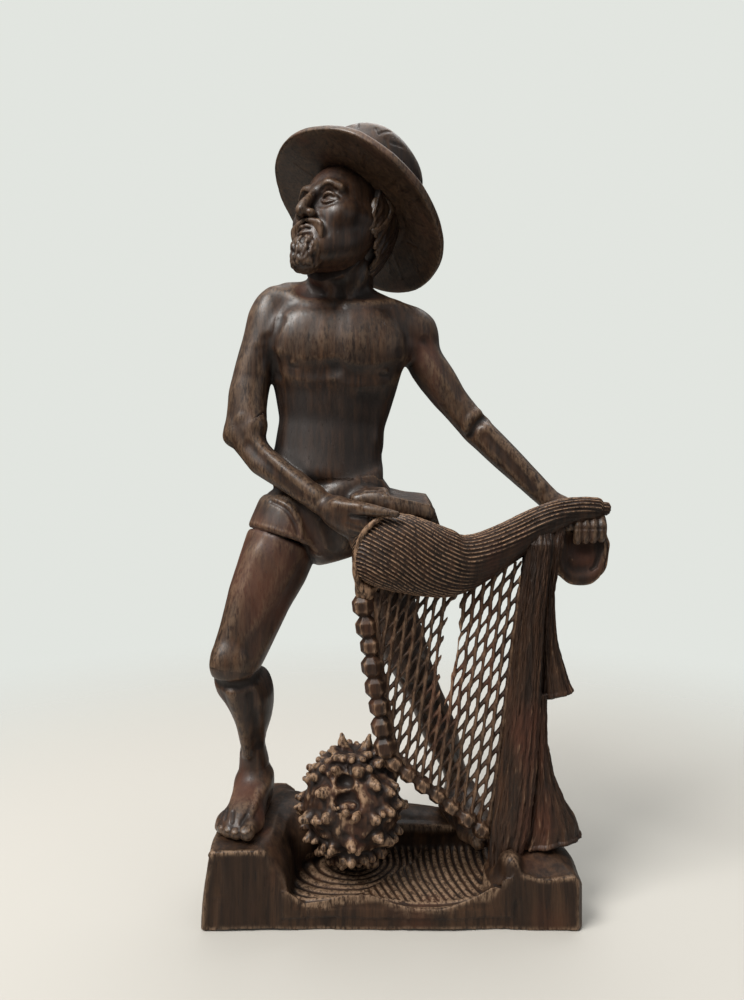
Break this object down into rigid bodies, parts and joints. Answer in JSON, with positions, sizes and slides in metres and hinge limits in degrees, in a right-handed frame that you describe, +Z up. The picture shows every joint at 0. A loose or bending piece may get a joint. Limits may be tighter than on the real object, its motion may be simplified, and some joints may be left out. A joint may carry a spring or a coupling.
{
  "type": "carved wooden figurine",
  "caption": "Standing carving of a lean fisher in a brimmed hat who gathers an openwork casting net beside a spiny shell, on a rough block base.",
  "frame": {"origin": "centre of the flat underside of the base", "axes": "+Z up through the figure, +X towards the side where the net hangs, the figure and the shell face -Y"},
  "size_m": [0.2509, 0.1189, 0.4935],
  "materials": {
    "figure_wood": "semi-gloss",
    "base_wood": "satin",
    "net_wood": "satin",
    "shell_wood": "satin"
  },
  "bodies": {
    "root": {"base_block": "base_wood", "foot_rock": "base_wood", "rear_rock": "base_wood", "side_rock": "base_wood", "water_pool": "base_wood", "shell_body": "shell_wood", "shell_knobs": "shell_wood", "right_foot": "figure_wood", "right_shank": "figure_wood", "right_thigh": "figure_wood", "left_foot": "figure_wood", "left_shank": "figure_wood", "left_thigh": "figure_wood", "shorts_seat": "figure_wood", "shorts_right_leg": "figure_wood", "shorts_left_leg": "figure_wood", "waist_fold": "figure_wood", "torso": "figure_wood", "neck": "figure_wood", "head": "figure_wood", "ears": "figure_wood", "hair": "figure_wood", "moustache": "figure_wood", "goatee": "figure_wood", "hat_brim": "figure_wood", "hat_crown": "figure_wood", "right_upper_arm": "figure_wood", "right_forearm": "figure_wood", "right_hand": "figure_wood", "left_upper_arm": "figure_wood", "left_forearm": "figure_wood", "left_hand": "figure_wood", "net_roll": "net_wood", "net_roll_tip": "net_wood", "net_edge_panel": "net_wood", "net_mesh": "net_wood", "net_side_weights": "net_wood", "net_hem_weights": "net_wood", "net_column": "net_wood", "net_short_fold": "net_wood", "net_flare": "net_wood", "net_loop": "net_wood"}
  },
  "joints": []
}
